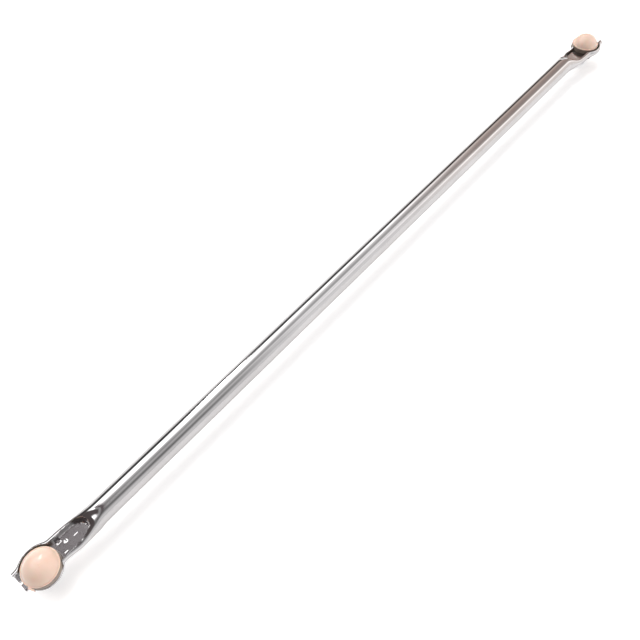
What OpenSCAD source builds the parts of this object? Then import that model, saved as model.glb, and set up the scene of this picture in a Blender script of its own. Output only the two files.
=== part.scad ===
// Ball-socket link rod.
// A round steel tube is pressed flat at both ends into a shallow tray with a hollow bead
// on each side; on the low side the bead stops at the eye. Each eye holds a moulded ball
// socket, domed side up, and each socket holds a ball pin that swivels and tilts in it.
// The rod lies along X, the pins point down, and the pins' lower ends stand on Z = 0.

/* [Rod] */
// Outside diameter of the tube
tube_d = 12; // [11.8:0.1:12.4]
// Wall thickness of the tube
tube_wall = 1; // [0.8:0.1:1.1]
// Distance between the centres of the two sockets
socket_spacing = 484; // [200:1:700]

/* [Pressed ends] */
// Height of the beads' top above the tube's axis
bead_top = 1.2; // [0.8:0.1:1.6]
// Depth of the flat underside below the tube's axis
underside = 3.6; // [3.4:0.1:4]
// Outside radius of the eye
eye_r = 11.5; // [11.4:0.1:12]
// Outside radius of the eye on its low side, where it has no bead
eye_low_r = 9.3; // [9.2:0.1:10]
// Inside radius of the eye's bead at its top
eye_open_r = 10.2; // [10.1:0.1:10.4]
// Distance from the centre line to the edge of the tray's opening
tray_half_w = 6.3; // [6:0.1:6.5]
// The same distance on the low side
tray_low_w = 4.7; // [4.5:0.1:5]
// Extra half width of the neck, over a tube pressed at constant girth
neck_spread = 0.6; // [0.3:0.1:0.9]
// Distance from the eye's centre to the cut tip
tip_len = 10.7; // [10.4:0.1:11]
// Distance from the eye's centre to the rounded end of the tray
tray_end = 26.8; // [26:0.2:28]
// Distance from the eye's centre to the place where the tube is round
round_from = 40; // [38:1:44]
// Radius of the hole that the socket sits in
eye_hole_r = 8; // [8:0.02:8.1]

/* [Socket] */
// Radius of the moulded dome
dome_r = 9; // [8.9:0.05:9.1]
// Depth of the ball's centre below the tube's axis
ball_depth = 1.45; // [1.4:0.05:1.5]
// Outside radius of the lip round the dome
lip_r = 8.9; // [8.8:0.05:9]
// Height of the lip's top above the tube's axis
lip_top = 1.8; // [1.7:0.05:1.9]
// Outside radius of the collar that passes through the eye
collar_r = 7.95; // [7.9:0.01:7.97]
// Radius of the mouth that the ball snaps through
throat_r = 5.8; // [5.7:0.05:5.9]
// Width of the slots between the collar's fingers
finger_slot = 1; // [0.8:0.1:1.4]

/* [Ball pin] */
// Diameter of the ball
ball_d = 13; // [12.98:0.01:13.02]
// Diameter of the pin's neck
neck_d = 7.2; // [6.8:0.1:7.4]
// Diameter of the pin's shoulder
shoulder_d = 10; // [9.6:0.1:10.2]
// Diameter of the rivet shank
shank_d = 8; // [7:0.1:8.6]
// Length of the rivet shank
shank_len = 3; // [2.5:0.1:5]

/* [Hidden] */
$fn = 96;

// Tube and pressed end
tube_r = tube_d / 2;
fuse_step = 0.015;                    // the pressed end is this much inside the tube where they join
loft_r = tube_r - fuse_step;
flat_r = (bead_top + underside) / 2;  // half height of the pressed section
flat_mid = (bead_top - underside) / 2;
floor_z = -underside + 2 * tube_wall; // the tray's floor is two walls thick
layer_gap = 0.12;                     // slit between the two walls
inner_wall = 0.8;                     // how far the bead's hollow stays behind its inner wall
press_from = 18;                      // the section starts to rise towards the round tube here
press_to = 33;
arch_from = 19;                       // the tray's side walls start to close here
arch_scale = 5.5;                     // sets how steep the arch's wall is
wall_run = 1.1;                       // plan width of the wall between floor and bead
rim_to = 5.5;                         // the eye's low side is a plain folded rim up to here
bead_from = 8;                        // and the low side's bead is whole from here
low_neck_w = [5.5, 6.45];             // half width of the neck's low side, at these distances
low_neck_at = [10, 18];
tip_low_w = 2.4;                      // half width of the tip on its low side
valley_z = [1.6, 4.9, 7];             // height of the crease above the tray's end, at these
valley_at = [24.6, 29.6, 38.6];       // distances
valley_lean = -2.2;                   // how far the crease moves to the low side
valley_slant = 0.6;                   // and how much later it ends there
valley_blend = 1;
half_len = socket_spacing / 2;

// Stack along the socket's axis, below the ball's centre
ball_r = ball_d / 2;
ball_play = 0.1;
cavity_r = ball_r + ball_play;
collar_depth = 5.2;
shoulder_depth = 8.5;
shoulder_t = 1.2;
ball_flat = 6.2;                      // the ball's top is cut flat at this height
end_chamfer = 0.5;
collar_end = -ball_depth - collar_depth;
axis_h = shoulder_depth + shoulder_t + shank_len + ball_depth;

// Small rings, their heights measured from the tube's axis
lip_t = 0.8;
seat_ring_r = 9;
seat_ring_top = 0.95;
seat_play = 0.1;
seat_lift = 0.03;                     // the tray's walls are faced this far above its floor
flange_r = 8.6;                       // the socket's flange under the eye
flange_play = 0.05;
flange_low = -4.3;
flange_chamfer = 0.3;
waist_r = 7.4;                        // the collar below the flange
slot_top = -4.8;                      // the slots between the fingers end here
spigot_r = 6.6;                       // the collar's end is stepped down for the dust ring
spigot_top = -5.4;
dust_r = 7.3;
dust_lip_r = 5.6;
dust_play = 0.1;
dust_gap = 0.3;
dust_lip_t = 0.6;
dust_chamfer = 0.4;

// Anti-rotation tab, notch and stamped marks
tab_angle = 206;
tab_w = 1.7;
tab_r = 9.7;
tab_top = 1.5;
tab_play = 0.05;
notch_y = 2.3;
notch_w = 1.8;
notch_len = 1.4;
cut_low = -underside - 1;             // cuts through the flat end run from here
cut_h = underside + 3;

// Stamped marks, placed from the eye's centre
stamp_depth = 0.2;
frame_at = [11.6, 4.5];
frame_w = 2.4;
frame_line = 0.5;
dimple_at = [14.2, 2];
dimple_r = 1.1;
dimple_ball_r = 2.5;
dashes = [[19.1, 1.2, 2.2], [11.4, -2, 1.8]];  // x, y and length of each dash
dash_w = 0.5;

function smooth(t) = let (u = min(1, max(0, t))) u * u * (3 - 2 * u);
function soft_max(a, b, k) = (a + b + sqrt((a - b) * (a - b) + k * k)) / 2;
function soft_min(a, b, k) = (a + b - sqrt((a - b) * (a - b) + k * k)) / 2;
function mix(a, b, t) = a + (b - a) * t;

// How flat the tube is at distance s from the eye's centre: 1 is flat, 0 is round.
function flatness(s) = 1 - smooth((s - press_from) / (press_to - press_from));
function neck_half_h(s) = mix(loft_r, flat_r, flatness(s));

// The eye's low side is a plain folded rim, two walls thick: 1 is rim, 0 is bead.
function rim(s, side) = side > 0 ? 0 : 1 - smooth((s - rim_to) / (bead_from - rim_to));
function half_h(s, side) = mix(neck_half_h(s), tube_wall, rim(s, side));
function mid_z(s, side) = mix(flat_mid * flatness(s), tube_wall - underside, rim(s, side));

// The neck keeps the tube's girth on the high side and is drawn in on the low side, and the
// eye bulges out of it.
function high_neck(s) = neck_half_h(s) + (loft_r - neck_half_h(s)) * PI / 2
    + neck_spread * (1 - smooth((s - 12) / 10));
function low_neck(s) = mix(tip_low_w,
    min(high_neck(s), mix(low_neck_w[0], low_neck_w[1],
                          smooth((s - low_neck_at[0]) / (low_neck_at[1] - low_neck_at[0])))),
    smooth(1 + s / 9));
function half_w(s, side) = let (r = side > 0 ? eye_r : eye_low_r)
    soft_max(sqrt(max(0, r * r - s * s)), side > 0 ? high_neck(s) : low_neck(s), s > 30 ? 0 : 1);

// Distance from the centre line to the tray's edge, which opens out to nothing at the rim.
function tray_w(s, side) = side > 0 ? tray_half_w : tray_low_w + 6 * rim(s, side);

// Plan distance inside the tray's outline, positive where the floor is.
function in_tray(s, y, side) = s > arch_from
    ? arch_scale * (1 - norm([(s - arch_from) / (tray_end - arch_from), y / tray_w(s, side)]))
    : max(side > 0 ? eye_open_r - norm([s, y]) : 0, tray_w(s, side) - abs(y));

// Height of a stadium section over its own middle, at a distance y from the centre line.
function stadium(y, w, r) = sqrt(max(0, r * r - pow(max(0, abs(y) - (w - r)), 2)));

// The crease above the tray's end, which fades into the round tube.
function valley(s, y) = let (
        lead = s + valley_slant * (y + norm([y, 2])),
        rise = smooth((lead - valley_at[0]) / (valley_at[1] - valley_at[0])),
        fade = smooth((lead - valley_at[1]) / (valley_at[2] - valley_at[1])))
    mix(valley_z[0], valley_z[1], rise) + fade * (valley_z[2] - valley_z[1])
    + 3 * pow(abs(y - valley_lean * rise) / max(0.8, 5.5 * (1 - (s - 20) / 22)), 3);

function low_z(s, y, side, inset) =
    mid_z(s, side) - stadium(y, half_w(s, side) - inset, half_h(s, side) - inset);
function crown_z(s, y, side, inset) =
    mid_z(s, side) + stadium(y, half_w(s, side) - inset, half_h(s, side) - inset);
function pressed_z(s, y, side, inset) =
    let (crown = soft_min(crown_z(s, y, side, inset), valley(s, y) - inset,
                         valley_blend * (1 - smooth((s - 30) / 8))))
    mix(crown, min(crown, floor_z - inset),
        smooth((in_tray(s, y, side) + (inset > 0 ? inner_wall : 0)) / wall_run));
function high_z(s, y, side, inset) = inset == 0
    ? pressed_z(s, y, side, 0)
    : max(pressed_z(s, y, side, inset), low_z(s, y, side, inset) + layer_gap);

// Half width of the tray's opening, and the place of the columns of points that follow its edge.
function open_half_w(s, side) = s > arch_from
    ? tray_w(s, side) * sqrt(max(0, 1 - pow((s - arch_from) / (tray_end - arch_from), 2)))
    : max(side > 0 ? sqrt(max(0, eye_open_r * eye_open_r - s * s)) : 0, tray_w(s, side));
function knee(s, side, inset) = min(0.96 * (half_w(s, side) - inset),
    max(open_half_w(s, side), 0.55 * half_w(s, side)) + (inset > 0 ? inner_wall : 0));
function column_y(s, side, inset, k) = let (w = half_w(s, side) - inset, edge = knee(s, side, inset))
    side * (k <= floor_steps ? (edge - wall_run) * k / floor_steps
        : k <= knee_step ? edge - wall_run * (knee_step - k) / (knee_step - floor_steps)
        : edge + (w - edge) * sin(90 * (k - knee_step) / (side_steps - knee_step)));

// One closed section as points in (Y, Z): over the top from -Y to +Y, and back underneath.
floor_steps = 2;
knee_step = 6;
side_steps = 10;
low_steps = 8;
function section(s, inset) = concat(
    [for (k = [-side_steps:side_steps])
        let (side = k < 0 ? -1 : 1, y = column_y(s, side, inset, abs(k)))
        [y, abs(k) == side_steps ? mid_z(s, side) : high_z(s, y, side, inset)]],
    [for (k = [1:low_steps - 1])
        let (f = sin(90 - 180 * k / low_steps), side = f < 0 ? -1 : 1,
             y = f * (half_w(s, side) - inset))
        [y, low_z(s, y, side, inset)]]);
ring_n = 2 * side_steps + low_steps;

stations = concat([for (i = [0:5]) -tip_len + i * 2.1],
                  [2, 4.6, 6.2, 7.4, 9, 11.5, 14, 16.6],
                  [for (i = [0:6]) 19.4 + i * 1.3],
                  [for (i = [0:4]) 28.6 + i * 2.4],
                  [round_from]);

// The pressed end as one shell: outer skin out to the round end, inner skin back to the tip.
module pressed_end() {
    n = len(stations);
    rings = concat([for (s = stations) [for (p = section(s, 0)) [s, p[0], p[1]]]],
                   [for (i = [n - 1:-1:0]) let (s = stations[i])
                       [for (p = section(s, tube_wall - 2 * fuse_step)) [s, p[0], p[1]]]]);
    m = len(rings);
    polyhedron(
        points = [for (ring = rings) each ring],
        faces = [for (i = [0:m - 1]) for (k = [0:ring_n - 1])
            let (a = i * ring_n + k, b = i * ring_n + (k + 1) % ring_n,
                 c = ((i + 1) % m) * ring_n + k, d = ((i + 1) % m) * ring_n + (k + 1) % ring_n)
            each [[a, b, c], [b, d, c]]]);
}

// What is cut out of one pressed end: the eye and its seat, the tab's slot, the tip's notch
// and the marks.
module end_cuts() {
    translate([0, 0, cut_low]) cylinder(r = eye_hole_r, h = cut_h);
    translate([0, 0, floor_z + seat_lift]) cylinder(r = seat_ring_r + seat_play, h = cut_h);
    tab_slot();
    tip_notch();
    stamped_marks();
}

module tab_slot() {
    rotate([0, 0, tab_angle]) translate([eye_hole_r - 1, -tab_w / 2 - tab_play, cut_low])
        cube([tab_r + tab_play - eye_hole_r + 1, tab_w + 2 * tab_play, cut_h]);
}

module tip_notch() {
    end_x = -tip_len + notch_len - notch_w / 2;
    translate([-tip_len - 1, notch_y - notch_w / 2, cut_low])
        cube([end_x + tip_len + 1, notch_w, cut_h]);
    translate([end_x, notch_y, cut_low]) cylinder(d = notch_w, h = cut_h, $fn = 32);
}

// A framed square, a round dimple and two dashes, pressed into the tray's floor.
module stamped_marks() {
    translate([frame_at.x, frame_at.y, floor_z - stamp_depth]) linear_extrude(1) difference() {
        square(frame_w, center = true);
        square(frame_w - 2 * frame_line, center = true);
    }
    translate([dimple_at.x, dimple_at.y,
               floor_z + sqrt(dimple_ball_r * dimple_ball_r - dimple_r * dimple_r)])
        sphere(r = dimple_ball_r);
    for (dash = dashes)
        translate([dash.x - dash.z / 2, dash.y - dash_w / 2, floor_z - stamp_depth])
            cube([dash.z, dash_w, 1]);
}

// Places a child, drawn round the near eye's centre, at the near or the far end.
module at_end(which) {
    rotate([0, 0, which == "near" ? 0 : 180]) translate([-half_len, 0, axis_h]) children();
}

module finished_end() difference() {
    pressed_end();
    end_cuts();
}

module rod_tube() color("silver") {
    tube_len = socket_spacing - 2 * round_from;
    translate([-tube_len / 2, 0, axis_h]) rotate([0, 90, 0]) difference() {
        cylinder(r = tube_r, h = tube_len);
        translate([0, 0, -1]) cylinder(r = tube_r - tube_wall, h = tube_len + 2);
    }
    at_end("near") finished_end();
    at_end("far") finished_end();
}

// Moulded socket: domed cap, lip, collar with a flange under the eye, slotted end, and a tab
// that keys it to the tube.
module socket_housing() color("peachpuff") {
    difference() {
        union() {
            intersection() {
                translate([0, 0, -ball_depth]) sphere(r = dome_r);
                translate([0, 0, lip_top - 0.1]) cylinder(r = dome_r, h = dome_r);
            }
            rotate_extrude() {
                translate([0, lip_top - lip_t]) square([lip_r - lip_t / 2, lip_t]);
                translate([lip_r - lip_t / 2, lip_top - lip_t / 2]) circle(d = lip_t, $fn = 32);
            }
            rotate_extrude() polygon([
                [0, lip_top - lip_t], [collar_r, lip_top - lip_t],
                [collar_r, -underside - flange_play], [flange_r, -underside - flange_play],
                [flange_r, flange_low + flange_chamfer], [flange_r - flange_chamfer, flange_low],
                [waist_r, flange_low], [waist_r, spigot_top], [spigot_r, spigot_top],
                [spigot_r, collar_end], [0, collar_end]]);
            rotate([0, 0, tab_angle]) translate([collar_r - 1, -tab_w / 2, -underside + 0.2])
                cube([tab_r - collar_r + 1, tab_w, underside - 0.2 + tab_top]);
        }
        translate([0, 0, -ball_depth]) {
            sphere(r = cavity_r);
            cylinder(r = 2, h = cavity_r + 0.8, $fn = 48);
            translate([0, 0, -collar_depth - 0.01])
                cylinder(r1 = throat_r + 0.5, r2 = throat_r, h = collar_depth - 3);
            translate([0, 0, -collar_depth]) cylinder(r = throat_r, h = collar_depth - 2);
        }
        for (turn = [45:90:315]) rotate([0, 0, turn])
            translate([throat_r - 1, -finger_slot / 2, collar_end - 1])
                cube([collar_r, finger_slot, slot_top - collar_end + 1]);
    }
}

// Dark seat ring between the tray's floor and the socket's lip.
module seat_ring() color([0.3, 0.24, 0.19]) difference() {
    translate([0, 0, floor_z + seat_lift])
        cylinder(r = seat_ring_r, h = seat_ring_top - floor_z - seat_lift);
    translate([0, 0, cut_low]) cylinder(r = eye_hole_r, h = cut_h);
    tab_slot();
}

// Rubber ring that turns on the collar's stepped end and closes the gap round the pin's neck.
module dust_ring() color([0.12, 0.12, 0.13]) {
    top = spigot_top - dust_play;
    lip_z = collar_end - dust_gap;
    low = lip_z - dust_lip_t;
    rotate_extrude() polygon([
        [dust_lip_r, lip_z], [dust_lip_r, low], [dust_r - dust_chamfer, low],
        [dust_r, low + dust_chamfer], [dust_r, top],
        [spigot_r + dust_play, top], [spigot_r + dust_play, lip_z]]);
}

// Ball, neck, shoulder and rivet shank, turned from one bar.
module ball_pin() color("lightsteelblue") translate([0, 0, -ball_depth]) {
    intersection() {
        sphere(r = ball_r);
        translate([0, 0, -ball_r]) cylinder(r = ball_r + 1, h = ball_r + ball_flat);
    }
    translate([0, 0, -shoulder_depth]) cylinder(d = neck_d, h = shoulder_depth - ball_r / 2);
    translate([0, 0, -shoulder_depth - shoulder_t]) cylinder(d = shoulder_d, h = shoulder_t);
    translate([0, 0, -shoulder_depth - shoulder_t - shank_len]) {
        cylinder(d1 = shank_d - 2 * end_chamfer, d2 = shank_d, h = end_chamfer);
        translate([0, 0, end_chamfer]) cylinder(d = shank_d, h = shank_len - end_chamfer);
    }
}

rod_tube();
at_end("near") socket_housing();  // socket_housing_near
at_end("far") socket_housing();  // socket_housing_far
at_end("near") seat_ring();  // seat_ring_near
at_end("far") seat_ring();  // seat_ring_far
at_end("near") dust_ring();  // dust_ring_near
at_end("far") dust_ring();  // dust_ring_far
at_end("near") ball_pin();  // ball_pin_near
at_end("far") ball_pin();  // ball_pin_far
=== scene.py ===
"""Looks of the ball-socket link rod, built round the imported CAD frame.

Lengths are in millimetres until a mesh is made, which puts them in metres. Each end is drawn
in its own frame: x = 0 at the eye's centre and positive towards the tube, z = 0 on the tube's
axis. The far end is the near end turned half a turn about Z.
"""
import math

import bmesh
import bpy
from mathutils import Matrix, Vector


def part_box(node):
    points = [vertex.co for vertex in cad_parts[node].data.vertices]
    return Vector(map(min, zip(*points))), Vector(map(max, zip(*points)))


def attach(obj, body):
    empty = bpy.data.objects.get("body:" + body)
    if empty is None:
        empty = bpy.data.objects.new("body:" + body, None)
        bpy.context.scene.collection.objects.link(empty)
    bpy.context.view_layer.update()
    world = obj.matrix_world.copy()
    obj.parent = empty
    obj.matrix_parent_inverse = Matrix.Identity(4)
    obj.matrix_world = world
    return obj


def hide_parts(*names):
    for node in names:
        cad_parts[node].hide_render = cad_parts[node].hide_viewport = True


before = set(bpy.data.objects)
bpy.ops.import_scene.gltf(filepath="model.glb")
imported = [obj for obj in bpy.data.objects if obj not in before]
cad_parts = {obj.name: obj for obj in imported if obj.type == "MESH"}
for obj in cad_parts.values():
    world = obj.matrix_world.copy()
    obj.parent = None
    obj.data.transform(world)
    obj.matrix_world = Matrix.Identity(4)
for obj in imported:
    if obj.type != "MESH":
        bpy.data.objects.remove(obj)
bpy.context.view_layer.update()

MM = 0.001
ENDS = ("near", "far")

# ---------------------------------------------------------------- sizes
TUBE_R = 6.0
WALL = 1.0

# Pressed ends. The low side is the one without a bead at the eye.
BEAD_TOP = 1.2
UNDERSIDE = 3.6
EYE_R, EYE_LOW_R = 11.5, 9.3
EYE_OPEN_R = 10.2                     # inside of the eye's bead
EYE_HOLE_R = 8.0
TRAY_HALF_W, TRAY_LOW_W = 6.3, 4.7
TRAY_RIM_OUT = 6.0                    # the tray is this much wider along the folded rim
TIP_LEN = 10.7
TRAY_END = 26.8
ROUND_FROM = 40.0                     # the tube is round from here on
PRESS_FROM, PRESS_TO = 18.0, 33.0     # the section rises from flat to round between these
ARCH_FROM, ARCH_SCALE = 19.0, 5.5     # the tray's rounded end: its start, and how steep it is
WALL_RUN = 1.1                        # plan width of the wall between floor and bead
RIM_TO, BEAD_FROM = 5.5, 8.0          # the low side is a folded rim up to one, a bead from the other
NECK_SPREAD, SPREAD_FADE = 0.6, (12.0, 22.0)  # the neck's extra width, gone over this stretch
LOW_NECK_W, LOW_NECK_AT = (5.5, 6.45), (10.0, 18.0)
TIP_LOW_W, TIP_LOW_AT = 2.4, (-9.0, 0.0)      # the tip's low side, merged into the neck here
EYE_TO = 30.0                         # beyond this the width is the neck's own
VALLEY_Z, VALLEY_AT = (1.6, 4.9, 7.0), (24.6, 29.6, 38.6)
VALLEY_LEAN, VALLEY_SLANT, VALLEY_BLEND = -2.2, 0.6, 1.0
VALLEY_FADE = (30.0, 38.0)            # the crease loses its soft edge over this stretch
LAYER_GAP = 0.12                      # slit between the two pressed walls
HOLLOW_BACK = 0.8                     # the bead's hollow stays this far behind its wall
FLAT_R = (BEAD_TOP + UNDERSIDE) / 2
FLAT_MID = (BEAD_TOP - UNDERSIDE) / 2
FLOOR_Z = -UNDERSIDE + 2 * WALL
CUT_EDGE = 0.12                       # chamfer of the tip's cut edge
CUT_TOP = 2.0                         # the eye, its seat, the slot and the notch are cut up to here

# Notch in the tip, and stamped marks: each dash is a range along the rod and one across it
NOTCH_Y, NOTCH_W, NOTCH_LEN = 2.3, 1.8, 1.4
STAMP_DEPTH, STAMP_TILT = 0.12, -9    # the marks' floors lean to catch the light
DASHES = [((18.0, 20.2), (0.95, 1.5)), ((10.5, 12.3), (-2.3, -1.7))]
DIMPLE_AT, DIMPLE_R, DIMPLE_SQUASH = (14.2, 2.0), 1.15, 0.16
FRAME_AT, FRAME_OUT, FRAME_BAR, FRAME_TILT = (11.6, 4.5), 0.95, 0.28, -5

# Socket
DOME_R = 9.0
BALL_DEPTH = 1.45
LIP_R, LIP_TOP, LIP_T = 8.9, 1.8, 0.8
COLLAR_R, COLLAR_DEPTH = 7.95, 5.2
FLANGE_R, FLANGE_TOP, FLANGE_LOW = 8.6, -UNDERSIDE - 0.05, -4.3
WAIST_R = 7.4
SLOT_W, SLOT_TOP = 1.0, -4.8
THROAT_R, CAVITY_R = 5.8, 6.6
TAB_ANGLE, TAB_W, TAB_R, TAB_TOP = 206.0, 1.7, 9.7, 1.5
TAB_PLAY = 0.05
TAB_SLOT = (-TAB_W / 2 - TAB_PLAY, TAB_W / 2 + TAB_PLAY)
PIPS, PIP_H, PIP_R = ((0.9, -1.3), (0.6, -2.3)), 0.14, 0.3

# Pin
BALL_R, BALL_FLAT = 6.5, 6.2
NECK_R, SHOULDER_R, SHANK_R = 3.6, 5.0, 4.0
SHOULDER_DEPTH, SHOULDER_T, SHANK_LEN = 8.5, 1.2, 3.0

# Small rings
SEAT_R, SEAT_TOP, SEAT_PLAY = 9.0, 0.95, 0.1
SEAT_LOW = FLOOR_Z + 0.03             # just above the floor, on the trimmed walls
SPIGOT_R, SPIGOT_TOP = 6.6, -5.4
COLLAR_END = -BALL_DEPTH - COLLAR_DEPTH
DUST_R, DUST_TOP, DUST_LIP_R = 7.3, SPIGOT_TOP - 0.1, 5.6
DUST_LIP_Z = COLLAR_END - 0.3
DUST_LOW = DUST_LIP_Z - 0.6

# Places, read from the frame
EYE_X = {end: sum(c.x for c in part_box("ball_pin_" + end)) / 2 / MM for end in ENDS}
AXIS_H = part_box("socket_housing_near")[1].z / MM - (DOME_R - BALL_DEPTH)


# ---------------------------------------------------------------- mesh helpers
def smooth(t):
    u = min(1.0, max(0.0, t))
    return u * u * (3 - 2 * u)


def rise(value, start, stop):
    """0 up to start, 1 from stop on, and a smooth step between them."""
    return smooth((value - start) / (stop - start))


def mix(a, b, t):
    return a + (b - a) * t


def around(middle, half):
    return middle - half, middle + half


def soft_max(a, b, k):
    return (a + b + math.hypot(a - b, k)) / 2


def soft_min(a, b, k):
    return (a + b - math.hypot(a - b, k)) / 2


def span(start, stop, steps):
    """steps + 1 evenly spaced values from start to stop."""
    return [mix(start, stop, i / steps) for i in range(steps + 1)]


def arc(cx, cz, r, start_deg, stop_deg, steps):
    angles = [math.radians(a) for a in span(start_deg, stop_deg, steps)]
    return [(cx + r * math.cos(a), cz + r * math.sin(a)) for a in angles]


def top_edge(r, z, edge, steps):
    """The rounded outer corner at the top of a turned profile, at radius r and height z."""
    return arc(r - edge, z - edge, edge, 90, 0, steps)


def low_edge(r, z, edge, steps):
    """The rounded outer corner at the bottom."""
    return arc(r - edge, z + edge, edge, 0, -90, steps)


def to_row(end, x, y, z):
    """A point of one end's own frame, in metres in the row frame."""
    turn = 1 if end == "near" else -1
    return ((EYE_X[end] + turn * x) * MM, turn * y * MM, (AXIS_H + z) * MM)


def make_object(name, verts, faces):
    mesh = bpy.data.meshes.new(name)
    mesh.from_pydata(verts, [], faces)
    obj = bpy.data.objects.new(name, mesh)
    bpy.context.scene.collection.objects.link(obj)
    tidy_mesh(mesh)
    return obj


def tidy_mesh(mesh, sharp_deg=35):
    """Outward normals, and smooth shading that breaks at real edges."""
    bm = bmesh.new()
    bm.from_mesh(mesh)
    bmesh.ops.remove_doubles(bm, verts=bm.verts, dist=1e-7)
    bmesh.ops.recalc_face_normals(bm, faces=bm.faces)
    bm.to_mesh(mesh)
    bm.free()
    mesh.shade_smooth()
    mesh.set_sharp_from_angle(angle=math.radians(sharp_deg))


def skin(rings, close_rings):
    """Vertices and faces of a surface through rings of points of equal length."""
    n, m = len(rings[0]), len(rings)
    verts = [p for ring in rings for p in ring]
    faces = []
    for i in range(m if close_rings else m - 1):
        a, b = i * n, ((i + 1) % m) * n
        faces += [(a + k, a + (k + 1) % n, b + (k + 1) % n, b + k) for k in range(n)]
    return verts, faces


def lathe(name, end, profile, steps=128, closed=False, bump=None):
    """Turns a profile of (radius, height) points round the eye's axis."""
    rings = []
    for r, z in profile:
        ring = []
        for k in range(steps):
            a = 2 * math.pi * k / steps
            x, y = r * math.cos(a), r * math.sin(a)
            ring.append(to_row(end, x, y, z + (bump(x, y, z) if bump else 0)))
        rings.append(ring)
    return make_object(name, *skin(rings, closed))


def box_cutter(end, x, y, z, turn_deg=0, edge=0.0, tilt_deg=0):
    """A box over the ranges x, y and z, tilted about its own X, then turned about the eye's axis."""
    bm = bmesh.new()
    bmesh.ops.create_cube(bm, size=1)
    size = Vector((x[1] - x[0], y[1] - y[0], z[1] - z[0]))
    centre = Vector((sum(x) / 2, sum(y) / 2, sum(z) / 2))
    place = (Matrix.Rotation(math.radians(turn_deg), 4, "Z")
             @ Matrix.Translation(centre) @ Matrix.Rotation(math.radians(tilt_deg), 4, "X")
             @ Matrix.Diagonal((*size, 1)))
    bmesh.ops.transform(bm, matrix=place, verts=bm.verts)
    if edge:
        bmesh.ops.bevel(bm, geom=bm.edges, offset=edge, segments=3, profile=0.5, affect="EDGES")
    for v in bm.verts:
        v.co = to_row(end, *v.co)
    return cutter_object(bm)


def eye_cutter(end, z, r, steps=96):
    """A cylinder round the eye's axis, over the range z."""
    verts = []
    for height in z:
        for k in range(steps):
            a = 2 * math.pi * k / steps
            verts.append(to_row(end, r * math.cos(a), r * math.sin(a), height))
    faces = [(k, (k + 1) % steps, steps + (k + 1) % steps, steps + k) for k in range(steps)]
    faces += [tuple(range(steps))[::-1], tuple(range(steps, 2 * steps))]
    return make_object("cutter", verts, faces)


def ball_cutter(end, x, y, z, r, squash):
    """A ball flattened to squash times its height."""
    bm = bmesh.new()
    bmesh.ops.create_uvsphere(bm, u_segments=48, v_segments=24, radius=r)
    for v in bm.verts:
        v.co = to_row(end, x + v.co.x, y + v.co.y, z + squash * v.co.z)
    return cutter_object(bm)


def cutter_object(bm):
    bmesh.ops.recalc_face_normals(bm, faces=bm.faces)
    mesh = bpy.data.meshes.new("cutter")
    bm.to_mesh(mesh)
    bm.free()
    obj = bpy.data.objects.new("cutter", mesh)
    bpy.context.scene.collection.objects.link(obj)
    return obj


def combine(obj, tools, operation, sharp_deg=35):
    """Applies a boolean of each tool to obj and removes the tools."""
    for tool in tools:
        mod = obj.modifiers.new("combine", "BOOLEAN")
        mod.operation = operation
        mod.solver = "EXACT"
        mod.object = tool
        graph = bpy.context.evaluated_depsgraph_get()
        done = bpy.data.meshes.new_from_object(obj.evaluated_get(graph))
        obj.modifiers.clear()
        old = obj.data
        obj.data = done
        bpy.data.meshes.remove(old)
        bpy.data.objects.remove(tool)
    obj.data.name = obj.name
    tidy_mesh(obj.data, sharp_deg)
    return obj


# ---------------------------------------------------------------- pressed tube
def flatness(s):
    """1 where the tube is pressed flat, 0 where it is round."""
    return 1 - rise(s, PRESS_FROM, PRESS_TO)


def neck_half_h(s):
    return mix(TUBE_R, FLAT_R, flatness(s))


def rim(s, side):
    """1 where the low side of the eye is a plain folded rim, 0 where it has a bead."""
    return 0.0 if side > 0 else 1 - rise(s, RIM_TO, BEAD_FROM)


def half_h(s, side):
    return mix(neck_half_h(s), WALL, rim(s, side))


def mid_z(s, side):
    return mix(FLAT_MID * flatness(s), WALL - UNDERSIDE, rim(s, side))


def neck_half_w(s, side):
    """The neck has the tube's own girth, but is drawn in on the low side."""
    h = neck_half_h(s)
    free = h + (TUBE_R - h) * math.pi / 2 + NECK_SPREAD * (1 - rise(s, *SPREAD_FADE))
    if side > 0:
        return free
    drawn_in = mix(*LOW_NECK_W, rise(s, *LOW_NECK_AT))
    return mix(TIP_LOW_W, min(free, drawn_in), rise(s, *TIP_LOW_AT))


def half_w(s, side):
    """Half width of the section: the eye's round merged with the neck."""
    r = EYE_R if side > 0 else EYE_LOW_R
    return soft_max(math.sqrt(max(0.0, r * r - s * s)), neck_half_w(s, side),
                    0 if s > EYE_TO else 1)


def in_tray(s, y, side):
    """Plan distance inside the tray's outline, positive where the floor is."""
    w = TRAY_HALF_W if side > 0 else TRAY_LOW_W + TRAY_RIM_OUT * rim(s, side)
    if s > ARCH_FROM:
        return ARCH_SCALE * (1 - math.hypot((s - ARCH_FROM) / (TRAY_END - ARCH_FROM), y / w))
    return max(EYE_OPEN_R - math.hypot(s, y) if side > 0 else 0, w - abs(y))


def stadium(y, w, r):
    return math.sqrt(max(0.0, r * r - max(0.0, abs(y) - (w - r)) ** 2))


def valley(s, y):
    """The crease above the tray's end, which fades into the round tube."""
    lead = s + VALLEY_SLANT * (y + math.hypot(y, 2))
    climb = rise(lead, *VALLEY_AT[:2])
    fade = rise(lead, *VALLEY_AT[1:])
    base = mix(VALLEY_Z[0], VALLEY_Z[1], climb) + fade * (VALLEY_Z[2] - VALLEY_Z[1])
    # Its sides are cubic curves that close in from 5.5 mm at s = 20 towards s = 42.
    narrowing = max(0.8, 5.5 * (1 - (s - 20) / 22))
    return base + 3 * (abs(y - VALLEY_LEAN * climb) / narrowing) ** 3


def low_z(s, y, side, inset):
    return mid_z(s, side) - stadium(y, half_w(s, side) - inset, half_h(s, side) - inset)


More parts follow.
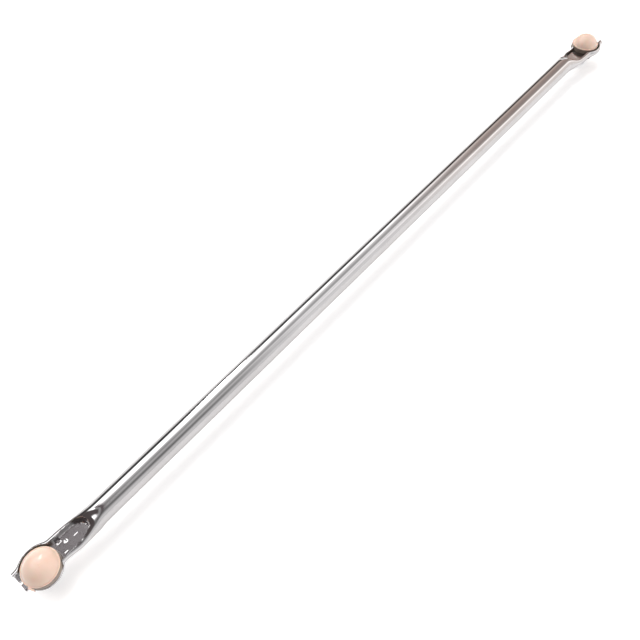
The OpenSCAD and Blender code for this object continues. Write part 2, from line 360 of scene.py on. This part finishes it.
def high_z(s, y, side, inset):
    crown = mid_z(s, side) + stadium(y, half_w(s, side) - inset, half_h(s, side) - inset)
    crown = soft_min(crown, valley(s, y) - inset, VALLEY_BLEND * (1 - rise(s, *VALLEY_FADE)))
    depth = smooth((in_tray(s, y, side) + HOLLOW_BACK * inset / WALL) / WALL_RUN)
    z = mix(crown, min(crown, FLOOR_Z - inset), depth)
    if inset < WALL / 2:
        return z
    return max(z, low_z(s, y, side, inset) + LAYER_GAP)


TOP_STEPS, LOW_STEPS = 96, 40


def section(end, s, inset):
    """One closed section: over the top in the row's +Y direction, and back underneath."""
    turn = 1 if end == "near" else -1
    ring = []
    for k in range(TOP_STEPS + 1):
        f = turn * math.sin(math.pi * (k / TOP_STEPS - 0.5))
        side = -1 if f < 0 else 1
        y = f * (half_w(s, side) - inset)
        z = mid_z(s, side) if k in (0, TOP_STEPS) else high_z(s, y, side, inset)
        ring.append(to_row(end, s, y, z))
    for k in range(1, LOW_STEPS):
        f = turn * math.sin(math.pi * (0.5 - k / LOW_STEPS))
        side = -1 if f < 0 else 1
        y = f * (half_w(s, side) - inset)
        ring.append(to_row(end, s, y, low_z(s, y, side, inset)))
    return ring


def stations():
    """Distances from the eye's centre where a section is drawn, closer where the shape turns."""
    return (span(-TIP_LEN + CUT_EDGE, 8, 48) + span(8.5, 18, 18)
            + span(18.4, 28, 24) + span(28.6, ROUND_FROM, 19))


def rod_shell():
    """Outer skin from tip to tip, chamfered cut edges, and the inner skin back again."""
    places = stations()
    rings = [section("near", s, 0) for s in places]
    rings += [section("far", s, 0) for s in reversed(places)]
    rings += [section("far", -TIP_LEN, inset) for inset in (CUT_EDGE, WALL - CUT_EDGE)]
    rings += [section("far", s, WALL) for s in places]
    rings += [section("near", s, WALL) for s in reversed(places)]
    rings += [section("near", -TIP_LEN, inset) for inset in (WALL - CUT_EDGE, CUT_EDGE)]
    rod = make_object("rod_shell", *skin(rings, close_rings=True))
    tools = []
    for end in ENDS:
        tools += end_cutters(end)
    return combine(rod, tools, "DIFFERENCE", 30)


def end_cutters(end):
    """The eye and its seat, the tab's slot, the tip's notch and the stamped marks."""
    through = (-UNDERSIDE - 1, CUT_TOP)
    stamp = (FLOOR_Z - STAMP_DEPTH, FLOOR_Z + 1.0)
    cuts = [
        eye_cutter(end, through, EYE_HOLE_R),
        eye_cutter(end, (SEAT_LOW, CUT_TOP), SEAT_R + SEAT_PLAY),
        box_cutter(end, (EYE_HOLE_R - 1, TAB_R + TAB_PLAY), TAB_SLOT, through, TAB_ANGLE),
        box_cutter(end, (-TIP_LEN - 1, -TIP_LEN + NOTCH_LEN), around(NOTCH_Y, NOTCH_W / 2), through,
                   edge=0.5),
        ball_cutter(end, *DIMPLE_AT, FLOOR_Z, DIMPLE_R, DIMPLE_SQUASH),
    ]
    cuts += [box_cutter(end, *dash, stamp, tilt_deg=STAMP_TILT) for dash in DASHES]
    return cuts + frame_cutters(end, stamp)


def frame_cutters(end, z):
    """The four bars of the square frame."""
    x, y = FRAME_AT
    bars = []
    for side in (-FRAME_OUT, FRAME_OUT):
        bars.append(box_cutter(end, around(x + side, FRAME_BAR), around(y, 1.2), z,
                               tilt_deg=FRAME_TILT))
        bars.append(box_cutter(end, around(x, 1.0), around(y + side, FRAME_BAR), z,
                               tilt_deg=STAMP_TILT))
    return bars


# ---------------------------------------------------------------- socket and its rings
def socket_shell(end):
    """Domed cap with a raised lip, a slotted collar and the ball's cavity."""
    shell = lathe("socket_shell_" + end, end, socket_outside() + socket_inside(), 160,
                  closed=True, bump=gate_pips)
    slots = [box_cutter(end, (4.5, 12), around(0, SLOT_W / 2), (COLLAR_END - 1, SLOT_TOP), turn)
             for turn in (45, 135, 225, 315)]
    combine(shell, slots, "DIFFERENCE")
    tab = box_cutter(end, (COLLAR_R - 0.6, TAB_R), around(0, TAB_W / 2),
                     (-UNDERSIDE + 0.2, TAB_TOP), TAB_ANGLE, 0.18)
    return combine(shell, [tab], "UNION")


def socket_outside():
    """From the dome's top down over the lip, the flange and the waist to the spigot's end."""
    edge_deg = math.degrees(math.acos((LIP_R - 0.58) / DOME_R))
    dome = arc(0, -BALL_DEPTH, DOME_R, 90, edge_deg, 40)[1:]
    foot_z = dome[-1][1]
    lip = [(LIP_R - 0.5, foot_z - 0.12), (LIP_R - 0.44, foot_z - 0.1), (LIP_R - 0.4, LIP_TOP - 0.06)]
    lip += arc(LIP_R - 0.3, LIP_TOP - 0.3, 0.3, 100, 0, 8)
    lip += low_edge(LIP_R, LIP_TOP - LIP_T, 0.2, 5)
    collar = [(COLLAR_R + 0.02, LIP_TOP - LIP_T), (COLLAR_R, LIP_TOP - LIP_T - 0.1)]
    collar += [(COLLAR_R, z) for z in span(0.2, FLANGE_TOP, 4)]
    flange = [(FLANGE_R - 0.1, FLANGE_TOP), (FLANGE_R, FLANGE_TOP - 0.1)]
    flange += low_edge(FLANGE_R, FLANGE_LOW, 0.3, 6)
    waist = [(WAIST_R + 0.15, FLANGE_LOW), (WAIST_R, FLANGE_LOW - 0.15)]
    waist += low_edge(WAIST_R, SPIGOT_TOP, 0.1, 3)
    spigot = [(SPIGOT_R + 0.1, SPIGOT_TOP), (SPIGOT_R, SPIGOT_TOP - 0.1)]
    spigot += low_edge(SPIGOT_R, COLLAR_END, 0.3, 5)
    return [(0.01, -BALL_DEPTH + DOME_R)] + dome + lip + collar + flange + waist + spigot


def socket_inside():
    """From the mouth up through the throat and the ball's cavity to the pocket over it."""
    ball_z = -BALL_DEPTH
    throat_z = ball_z - math.sqrt(CAVITY_R**2 - THROAT_R**2)
    mouth = [(THROAT_R + 0.5, COLLAR_END), (THROAT_R + 0.35, COLLAR_END + 0.1)]
    mouth += [(THROAT_R, throat_z - 0.2), (THROAT_R - 0.01, throat_z)]
    start_deg = -math.degrees(math.acos(THROAT_R / CAVITY_R))
    cavity = arc(0, ball_z, CAVITY_R, start_deg + 1, 70, 32)
    pocket = [(2.0, ball_z + 6.3), (2.0, ball_z + 7.2), (1.6, ball_z + 7.4), (0.01, ball_z + 7.4)]
    return mouth + cavity + pocket


def gate_pips(x, y, z):
    """Two small pips left by the mould's gates on the dome."""
    if z < LIP_TOP:
        return 0
    return sum(PIP_H * math.exp(-((x - px) ** 2 + (y - py) ** 2) / PIP_R**2) for px, py in PIPS)


def seat_band(end):
    """Ring with rounded edges under the dome's lip, open where the tab passes through; its brown-grey
    is painted shade and painted reflection of the dome, standing in for the dark gap under the lip.
    """
    edge = 0.2
    profile = (top_edge(SEAT_R, SEAT_TOP, edge, 4) + low_edge(SEAT_R, SEAT_LOW, edge, 4)
               + arc(EYE_HOLE_R + edge, SEAT_LOW + edge, edge, -90, -180, 4)
               + arc(EYE_HOLE_R + edge, SEAT_TOP - edge, edge, 180, 90, 4))
    band = lathe("seat_band_" + end, end, profile, closed=True)
    gap = box_cutter(end, (EYE_HOLE_R - 1, 11), TAB_SLOT, (FLOOR_Z - 1, CUT_TOP), TAB_ANGLE)
    return combine(band, [gap], "DIFFERENCE")


def dust_seal(end):
    """Rubber ring with two moulded ribs and a thin turned-in lip."""
    inner = SPIGOT_R + 0.1
    outside = top_edge(DUST_R, DUST_TOP, 0.2, 5)
    for rib_z in (DUST_TOP - 0.55, DUST_TOP - 1.1):
        outside += arc(DUST_R - 0.12, rib_z, 0.12, 80, -80, 6)
        outside += [(DUST_R - 0.14, rib_z - 0.22)]
    outside += low_edge(DUST_R, DUST_LOW, 0.4, 6)
    lip = arc(DUST_LIP_R + 0.3, (DUST_LIP_Z + DUST_LOW) / 2, 0.3, -90, -270, 10)
    corner = [(inner - 0.15, DUST_LIP_Z), (inner, DUST_LIP_Z + 0.15), (inner, DUST_TOP - 0.1),
              (inner + 0.1, DUST_TOP)]
    return lathe("dust_seal_" + end, end, outside + lip + corner, 144, closed=True)


def pin_profile():
    """Flat-topped ball, necked stem, shoulder and rivet shank with a centre hole."""
    c = -BALL_DEPTH
    flat_deg = math.degrees(math.asin(BALL_FLAT / BALL_R))
    neck_deg = -math.degrees(math.acos((NECK_R + 0.35) / BALL_R))
    ball = [(0.01, c + BALL_FLAT - 0.5), (0.55, c + BALL_FLAT)]
    ball += arc(0, c, BALL_R, flat_deg, neck_deg, 40)
    top = c - SHOULDER_DEPTH
    under = top - SHOULDER_T
    foot = under - SHANK_LEN
    fillet = arc(NECK_R + 0.5, top + 0.5, 0.5, 180, 270, 5)
    neck_top = ball[-1][1] - 0.4
    return (ball + [(NECK_R + 0.08, neck_top + 0.15), (NECK_R, neck_top - 0.1)] + fillet
            + top_edge(SHOULDER_R, top, 0.2, 4) + low_edge(SHOULDER_R, under, 0.2, 4)
            + [(SHANK_R + 0.05, under), (SHANK_R, under - 0.05), (SHANK_R, foot + 0.5),
               (SHANK_R - 0.5, foot), (1.0, foot), (0.01, foot + 0.6)])


def turned_pin(end):
    return lathe("turned_pin_" + end, end, pin_profile())


# ---------------------------------------------------------------- materials
def rgba(light, gain=1.0):
    """A grey or a colour as RGBA."""
    light = light if isinstance(light, tuple) else (light,) * 3
    return (*[c * gain for c in light], 1)


class Nodes:
    """A short way to write a material's or a world's node tree."""

    def __init__(self, name, world=False):
        self.owner = (bpy.data.worlds if world else bpy.data.materials).new(name)
        self.owner.use_nodes = True
        self.tree = self.owner.node_tree
        self.shader = self.tree.nodes["Background" if world else "Principled BSDF"]

    def add(self, kind, inputs=(), **settings):
        node = self.tree.nodes.new(kind)
        for key, value in settings.items():
            setattr(node, key, value)
        for key, value in dict(inputs).items():
            self.feed(node.inputs[key], value)
        return node

    def feed(self, socket, value):
        if isinstance(value, bpy.types.NodeSocket):
            self.tree.links.new(value, socket)
        else:
            socket.default_value = value

    def noise(self, scale, detail, stretch=(1, 1, 1)):
        coords = self.add("ShaderNodeTexCoord")
        mapping = self.add("ShaderNodeMapping", {"Vector": coords.outputs["Object"], "Scale": stretch})
        return self.add("ShaderNodeTexNoise", {
            "Vector": mapping.outputs["Vector"], "Scale": scale, "Detail": detail}).outputs["Fac"]

    def ramp(self, fac, low, high):
        """A colour or grey that runs from low to high over the middle of a noise's range."""
        node = self.add("ShaderNodeValToRGB", {"Fac": fac})
        for element, place, light in zip(node.color_ramp.elements, (0.3, 0.7), (low, high)):
            element.position = place
            element.color = rgba(light)
        return node.outputs["Color"]

    def bump(self, height, depth_mm, strength=1.0, normal=None):
        inputs = {"Height": height, "Distance": depth_mm * MM, "Strength": strength}
        if normal:
            inputs["Normal"] = normal
        return self.add("ShaderNodeBump", inputs).outputs["Normal"]

    def surface(self, **inputs):
        names = {"color": "Base Color", "metal": "Metallic", "rough": "Roughness", "normal": "Normal",
                 "scatter": "Subsurface Weight", "scatter_scale": "Subsurface Scale", "ior": "IOR",
                 "glow": "Emission Color", "glow_strength": "Emission Strength"}
        for key, value in inputs.items():
            self.feed(self.shader.inputs[names[key]], value)
        return self.owner


def zinc_material():
    """Bright zinc on drawn tube: faint lines along the rod, soft spangle and a little haze."""
    n = Nodes("bright_zinc")
    lines = n.noise(1400, 3, stretch=(0.006, 1, 1))
    spangle = n.noise(420, 2)
    haze = n.noise(38, 4)
    normal = n.bump(lines, 0.002, 0.5)
    normal = n.bump(spangle, 0.002, 0.35, normal)
    return n.surface(color=n.ramp(haze, (0.43, 0.418, 0.42), (0.475, 0.464, 0.467)), metal=1.0,
                     rough=n.ramp(haze, 0.09, 0.15), normal=normal)


def socket_material():
    """Glossy peach acetal with a slight mould texture."""
    n = Nodes("peach_acetal")
    cloud = n.noise(120, 3)
    grain = n.noise(1500, 2)
    return n.surface(color=n.ramp(cloud, (0.75, 0.55, 0.445), (0.78, 0.59, 0.485)),
                     rough=n.ramp(cloud, 0.16, 0.24), normal=n.bump(grain, 0.006, 0.5),
                     scatter=0.25, scatter_scale=0.0015, ior=1.48)


# Rough rubber for the dust seal; the seat band uses it too, where its brown-grey is painted shade and
# painted reflection of the dome.
def rubber_and_painted_shade_material(name, low, high, grain_mm):
    n = Nodes(name)
    cloud = n.noise(400, 3)
    grain = n.noise(3000, 3)
    return n.surface(color=n.ramp(cloud, low, high), rough=n.ramp(cloud, 0.42, 0.62),
                     normal=n.bump(grain, grain_mm, 0.8))


def turned_steel_material():
    """Turned steel: fine rings round the pin, which show as lines across its height."""
    n = Nodes("turned_steel")
    rings = n.noise(5200, 1, stretch=(0.02, 0.02, 1))
    haze = n.noise(160, 3)
    return n.surface(color=n.ramp(haze, (0.52, 0.52, 0.54), (0.66, 0.66, 0.68)), metal=1.0,
                     rough=n.ramp(haze, 0.16, 0.3), normal=n.bump(rings, 0.006, 0.6))


def floor_material():
    """White paper that glows a little, so that only contact shadows show on it."""
    n = Nodes("white_floor")
    return n.surface(color=n.ramp(n.noise(3, 2), 0.90, 0.92), rough=0.7,
                     glow=rgba(1.0), glow_strength=FLOOR_GLOW)


# ---------------------------------------------------------------- the object
def show(piece, body, node, material):
    piece.data.materials.clear()
    piece.data.materials.append(material)
    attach(piece, body)
    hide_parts(node)


def build_object():
    zinc = zinc_material()
    peach = socket_material()
    # The seat band's brown-grey is painted shade and painted reflection of the dome, for the dark gap
    # under the dome's lip.
    brown = rubber_and_painted_shade_material("seat_band_painted_shade", (0.20, 0.155, 0.125), (0.27, 0.215, 0.175), 0.010)
    black = rubber_and_painted_shade_material("black_rubber", (0.012, 0.012, 0.014), (0.028, 0.028, 0.030), 0.014)
    turned = turned_steel_material()
    show(rod_shell(), "rod", "rod_tube", zinc)
    for end in ENDS:
        show(socket_shell(end), "rod", "socket_housing_" + end, peach)
        show(seat_band(end), "rod", "seat_ring_" + end, brown)
        show(dust_seal(end), end + "_seal", "dust_ring_" + end, black)
        show(turned_pin(end), end + "_pin", "ball_pin_" + end, turned)


# ---------------------------------------------------------------- studio
# Places of the camera and of the glint's box are measured from the near eye's centre.
CAMERA_SPOT, CAMERA_AIM = (44.0, -143.3, 293.0), (178.0, -9.0, 0.0)
CAMERA_ROLL = -4.5                    # degrees
LENS_MM, SENSOR_MM = 35.9, 36.0
GLINT_SPOT, GLINT_AIM = (150.0, 183.0, 183.0), (0.0, 0.0, 6.0)
GLINT_SIZE, GLINT_WATTS = (0.05, 0.16), 0.24
KEY_SPOT, KEY_AIM = (0.15, 0.6, 1.2), (0, 0, 0)
KEY_SIZE, KEY_WATTS = (0.8, 0.8), 5.5
FLOOR_SIZE, FLOOR_GLOW = 6.0, 0.42
WORLD_GAIN, WORLD_LIFT = 4.0, 1.15
BACKDROP = 0.26                       # what the camera itself sees, before gain and lift

# The studio seen from the rod, by the angle up from the +Y side: 0 is that horizon, 90 is
# overhead and 180 the -Y horizon. Each list holds the greys or colours in one direction along X.
FAR_BEHIND = [(0, (0.5, 0.45, 0.45)), (10, (0.12, 0.10, 0.10)), (180, (0.16, 0.14, 0.14))]
BEHIND = [(0, 1.0), (8, 0.5), (14, 0.07), (32, 0.07), (38, 0.9), (43, 3.4), (74, 3.4), (84, 1.1),
          (95, 0.5), (110, 0.36), (122, 0.32), (135, 0.26), (146, 0.5), (160, 1.0), (180, 1.1)]
HALF_BEHIND = [(0, 1.0), (8, 0.5), (14, 0.07), (32, 0.07), (38, 0.9), (42, 3.4), (53, 3.4),
               (58, 0.20), (64, (0.165, 0.135, 0.145)), (90, (0.17, 0.135, 0.145)),
               (120, (0.20, 0.17, 0.18)), (135, 0.2), (146, 0.5), (160, 1.0), (180, 1.1)]
BESIDE = [(0, 1.0), (8, 0.6), (14, 0.05), (32, 0.05), (38, 0.9), (43, 3.2), (72, 3.2), (82, 1.3),
          (90, 0.75), (100, 0.5), (108, 0.55), (114, 0.8), (123, 0.62), (132, 0.3), (138, 0.26),
          (146, 0.5), (155, 0.95), (180, 1.0)]
AHEAD = [(0, 1.0), (8, 0.6), (14, 0.08), (32, 0.08), (38, 0.5), (44, 2.6), (56, 2.6), (64, 1.4),
         (74, 1.05), (84, 0.78), (94, 0.6), (104, 0.65), (111, 1.2), (117, 1.7), (124, 1.1),
         (133, 1.7), (143, 1.3), (153, 1.05), (163, 1.2), (180, 1.2)]
FAR_AHEAD = [(0, (1.2, 1.18, 1.15)), (9, (0.7, 0.66, 0.62)), (15, (0.06, 0.05, 0.05)),
             (29, (0.06, 0.05, 0.05)), (36, (0.3, 0.26, 0.24)), (44, (0.76, 0.63, 0.57)),
             (52, (0.86, 0.71, 0.64)), (62, (0.66, 0.52, 0.46)), (75, (0.56, 0.45, 0.41)),
             (95, (0.50, 0.41, 0.38)), (110, (0.52, 0.44, 0.41)), (117, (0.62, 0.55, 0.51)),
             (124, (1.1, 1.02, 0.98)), (130, (2.4, 2.35, 2.25)), (137, (1.7, 1.6, 1.55)),
             (145, (1.35, 1.28, 1.23)), (153, (1.2, 1.13, 1.08)), (180, (1.25, 1.2, 1.15))]
# Where each list takes over from the one before it, by the direction's X.
TAKEOVERS = [(BEHIND, -0.50, -0.40), (HALF_BEHIND, -0.24, -0.19), (BESIDE, -0.05, -0.02),
             (AHEAD, 0.15, 0.45), (FAR_AHEAD, 0.5, 0.72)]


def aimed(spot, aim):
    """Placement at spot, looking at aim."""
    spot, aim = Vector(spot), Vector(aim)
    return Matrix.Translation(spot) @ (aim - spot).to_track_quat("-Z", "Y").to_matrix().to_4x4()


def studio_camera():
    data = bpy.data.cameras.new("camera")
    data.lens = LENS_MM
    data.sensor_width = SENSOR_MM
    data.clip_start = 0.01
    camera = bpy.data.objects.new("camera", data)
    bpy.context.scene.collection.objects.link(camera)
    roll = Matrix.Rotation(math.radians(CAMERA_ROLL), 4, "Z")
    camera.matrix_world = aimed(to_row("near", *CAMERA_SPOT), to_row("near", *CAMERA_AIM)) @ roll
    bpy.context.scene.camera = camera


def studio_floor():
    corners = [(-1, -1), (1, -1), (1, 1), (-1, 1)]
    verts = [(x * FLOOR_SIZE, y * FLOOR_SIZE, 0) for x, y in corners]
    floor = make_object("floor", verts, [(0, 1, 2, 3)])
    floor.data.materials.append(floor_material())


def area_light(name, spot, aim, size, power, mirrored=False):
    """A soft box that is seen either only as light or only as its own reflection."""
    data = bpy.data.lights.new(name, "AREA")
    data.shape = "RECTANGLE"
    data.size, data.size_y = size
    data.energy = power
    light = bpy.data.objects.new(name, data)
    light.visible_glossy, light.visible_diffuse = mirrored, not mirrored
    bpy.context.scene.collection.objects.link(light)
    light.matrix_world = aimed(spot, aim)


def studio_world():
    """Soft bands of light that run along the rod; the camera sees a plain pale background."""
    n = Nodes("studio", world=True)
    way = n.add("ShaderNodeSeparateXYZ", {0: n.add("ShaderNodeTexCoord").outputs["Generated"]})
    angle = n.add("ShaderNodeMath", {0: way.outputs["Z"], 1: way.outputs["Y"]}, operation="ARCTAN2")
    turn = n.add("ShaderNodeMath", {0: angle.outputs[0], 1: math.pi}, operation="DIVIDE").outputs[0]

    def bands(stops):
        ramp = n.add("ShaderNodeValToRGB", {"Fac": turn})
        points = ramp.color_ramp.elements
        while len(points) < len(stops):
            points.new(1.0)
        for point, (deg, light) in zip(points, stops):
            point.position = deg / 180
            point.color = rgba(light, 1 / WORLD_GAIN)
        return ramp.outputs["Color"]

    light = bands(FAR_BEHIND)
    for stops, start, stop in TAKEOVERS:
        share = n.add("ShaderNodeMapRange", {
            "Value": way.outputs["X"], "From Min": start, "From Max": stop},
            interpolation_type="SMOOTHSTEP").outputs[0]
        mixed = n.add("ShaderNodeMix", {0: share, 6: light, 7: bands(stops)}, data_type="RGBA")
        light = mixed.outputs[2]
    seen = n.add("ShaderNodeLightPath").outputs["Is Camera Ray"]
    plain = n.add("ShaderNodeMix", {0: seen, 6: light, 7: rgba(BACKDROP)}, data_type="RGBA")
    n.feed(n.shader.inputs["Color"], plain.outputs[2])
    n.feed(n.shader.inputs["Strength"], WORLD_GAIN * WORLD_LIFT)
    bpy.context.scene.world = n.owner


def studio_light():
    studio_world()
    area_light("key", KEY_SPOT, KEY_AIM, KEY_SIZE, KEY_WATTS)
    area_light("dome_glint", to_row("near", *GLINT_SPOT), to_row("near", *GLINT_AIM), GLINT_SIZE,
               GLINT_WATTS, mirrored=True)


def studio_look():
    settings = bpy.context.scene.view_settings
    settings.view_transform = "Standard"
    settings.look = "None"
    settings.exposure = 0.0


studio_camera()
build_object()
studio_floor()
studio_light()
studio_look()
